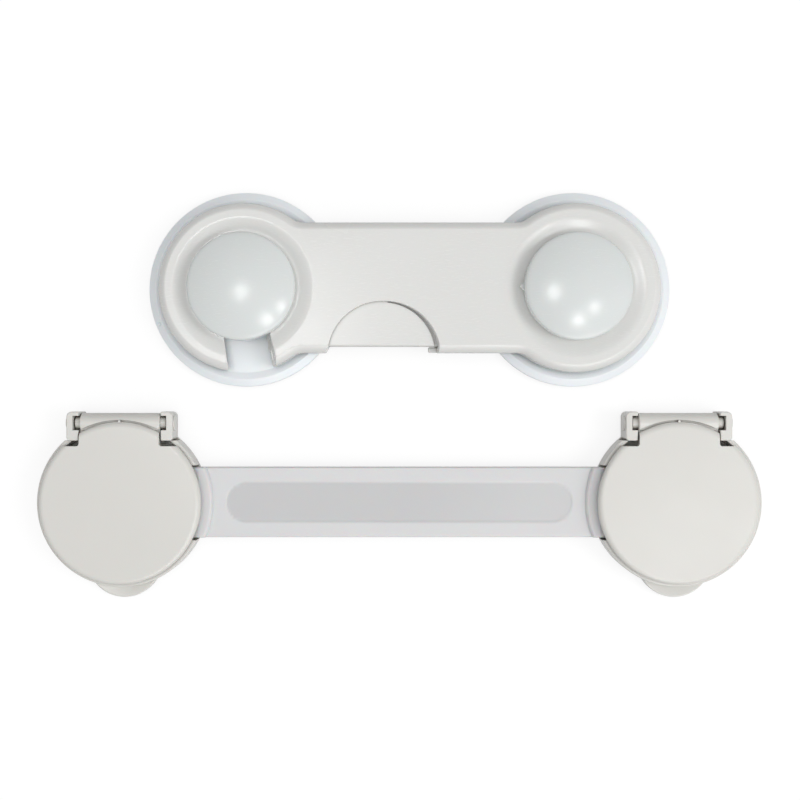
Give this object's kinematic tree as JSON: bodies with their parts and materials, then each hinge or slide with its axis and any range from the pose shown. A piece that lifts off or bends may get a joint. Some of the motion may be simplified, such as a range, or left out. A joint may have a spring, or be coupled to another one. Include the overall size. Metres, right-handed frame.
{
  "type": "cabinet safety lock set",
  "caption": "Child safety lock set for furniture: a rigid swing bar lock with a hook and release button, and a flexible strap lock with flip lids.",
  "frame": {"origin": "centre of the set's outline, on the plane of the adhesive pads", "axes": "+X along both locks, to the bar lock's turning post; +Z out of the furniture; +Y from the strap lock to the bar lock"},
  "size_m": [0.2104, 0.119, 0.0165],
  "materials": {
    "warm_white_plastic": "satin gloss moulded",
    "cool_white_plastic": "glossy moulded, slightly milky",
    "frosted_strap": "frosted, slightly see-through",
    "foam_pad": "matt foam",
    "inner_grey_plastic": "matt moulded",
    "steel": "zinc plated"
  },
  "bodies": {
    "mounting": {"catch_pad": "foam_pad", "catch_base": "cool_white_plastic", "catch_knob": "cool_white_plastic", "catch_screw": "steel", "pivot_pad": "foam_pad", "pivot_base": "cool_white_plastic", "pivot_knob": "cool_white_plastic", "pivot_screw": "steel", "left_pad": "foam_pad", "left_base": "warm_white_plastic", "strap": "frosted_strap"},
    "arm": {"arm_shell": "warm_white_plastic", "arm_back_plate": "inner_grey_plastic", "arm_screws": "steel", "lever_pin": "steel", "latch_spring": "steel"},
    "button": {"release_button": "warm_white_plastic"},
    "latch": {"latch_lever": "inner_grey_plastic"},
    "left_cover": {"left_lid": "warm_white_plastic"},
    "right_head": {"right_pad": "foam_pad", "right_base": "warm_white_plastic"},
    "right_cover": {"right_lid": "warm_white_plastic"}
  },
  "joints": [
    {"name": "arm_swing", "type": "hinge", "parent": "mounting", "child": "arm", "pos_m": [0.0511, 0.03095, 0.007], "axis": [0, 0, -1], "range_deg": [0, 180]},
    {"name": "button_press", "type": "slide", "parent": "arm", "child": "button", "axis": [0, 1, 0], "range_m": [0, 0.003], "stiffness_N_per_m": 150, "deforming": ["latch_spring"]},
    {"name": "latch_turn", "type": "hinge", "parent": "arm", "child": "latch", "pos_m": [-0.0289, 0.02595, 0.0064], "axis": [0, 0, 1], "range_deg": [0, 12.5]},
    {"name": "left_lid_flip", "type": "hinge", "parent": "mounting", "child": "left_cover", "pos_m": [-0.0808, -0.00815, 0.00585], "axis": [-1, 0, 0], "range_deg": [0, 120]},
    {"name": "strap_bend", "type": "hinge", "parent": "mounting", "child": "right_head", "pos_m": [0, -0.03135, 0.0039], "axis": [0, 1, 0], "range_deg": [-90, 90], "stiffness_Nm_per_rad": 0.02, "deforming": ["strap"]},
    {"name": "right_lid_flip", "type": "hinge", "parent": "right_head", "child": "right_cover", "pos_m": [0.0808, -0.00815, 0.00585], "axis": [-1, 0, 0], "range_deg": [0, 120]}
  ],
  "couplings": [
    {"joint": "latch_turn", "follows": "button_press", "rad_per_m": 71.429}
  ]
}
